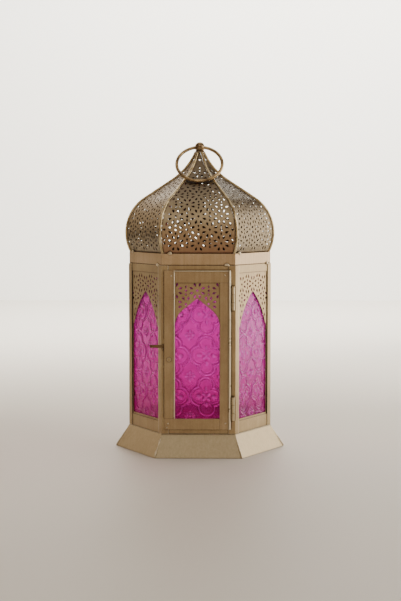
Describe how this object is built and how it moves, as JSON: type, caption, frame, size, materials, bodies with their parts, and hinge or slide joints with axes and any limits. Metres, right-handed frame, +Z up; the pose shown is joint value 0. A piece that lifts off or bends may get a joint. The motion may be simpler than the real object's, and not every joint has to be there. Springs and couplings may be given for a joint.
{
  "type": "candle lantern",
  "caption": "Hexagonal sheet-metal candle lantern with a pierced onion dome, embossed coloured glass panes, a hinged latched door and a carrying ring.",
  "frame": {"origin": "middle of the foot, on the plane that the lantern stands on", "axes": "+Z up, -Y the side with the door, +X to the right of the door"},
  "size_m": [0.171, 0.148, 0.3081],
  "materials": {
    "gold_paint": "satin antique gold paint",
    "antique_brass": "rubbed antique brass",
    "pink_glass": "embossed pink glass",
    "solder": "painted solder",
    "wire": "plain"
  },
  "bodies": {
    "lantern": {"base_skirt": "gold_paint", "bottom_rail": "gold_paint", "corner_post_1": "gold_paint", "corner_post_2": "gold_paint", "corner_post_3": "gold_paint", "corner_post_4": "gold_paint", "corner_post_5": "gold_paint", "corner_post_6": "gold_paint", "dome_gore_1": "gold_paint", "dome_gore_2": "gold_paint", "dome_gore_3": "gold_paint", "dome_gore_4": "gold_paint", "dome_gore_5": "gold_paint", "dome_gore_6": "gold_paint", "dome_rib_1": "antique_brass", "dome_rib_2": "antique_brass", "dome_rib_3": "antique_brass", "dome_rib_4": "antique_brass", "dome_rib_5": "antique_brass", "dome_rib_6": "antique_brass", "finial_ball": "antique_brass", "finial_collar": "antique_brass", "floor_plate": "gold_paint", "glass_1": "pink_glass", "glass_2": "pink_glass", "glass_3": "pink_glass", "glass_4": "pink_glass", "glass_5": "pink_glass", "glass_clips": "gold_paint", "hinge_lower_frame_leaf": "gold_paint", "hinge_lower_pin": "wire", "hinge_upper_frame_leaf": "gold_paint", "hinge_upper_pin": "wire", "latch_keeper": "gold_paint", "lid_band": "gold_paint", "panel_1": "gold_paint", "panel_2": "gold_paint", "panel_3": "gold_paint", "panel_4": "gold_paint", "panel_5": "gold_paint", "solder_tacks": "solder", "top_rail": "gold_paint"},
    "door": {"door_bottom_rail": "gold_paint", "door_glass": "pink_glass", "door_glass_clips": "gold_paint", "door_panel": "gold_paint", "door_stile_left": "gold_paint", "door_stile_right": "gold_paint", "door_top_rail": "gold_paint", "hinge_lower_door_leaf": "gold_paint", "hinge_upper_door_leaf": "gold_paint", "latch_rivet": "gold_paint"},
    "latch": {"latch_lever": "gold_paint"},
    "ring": {"ring_handle": "antique_brass"}
  },
  "joints": [
    {"name": "door_swing", "type": "hinge", "parent": "lantern", "child": "door", "pos_m": [0.0337, -0.06478, 0.1], "axis": [0, 0, 1], "range_deg": [0, 170]},
    {"name": "latch_lift", "type": "hinge", "parent": "door", "child": "latch", "pos_m": [-0.0285, -0.0636, 0.0952], "axis": [0, 1, 0], "range_deg": [0, 25]},
    {"name": "ring_swing", "type": "hinge", "parent": "lantern", "child": "ring", "pos_m": [0, 0, 0.3029], "axis": [-1, 0, 0], "range_deg": [0, 278]}
  ]
}
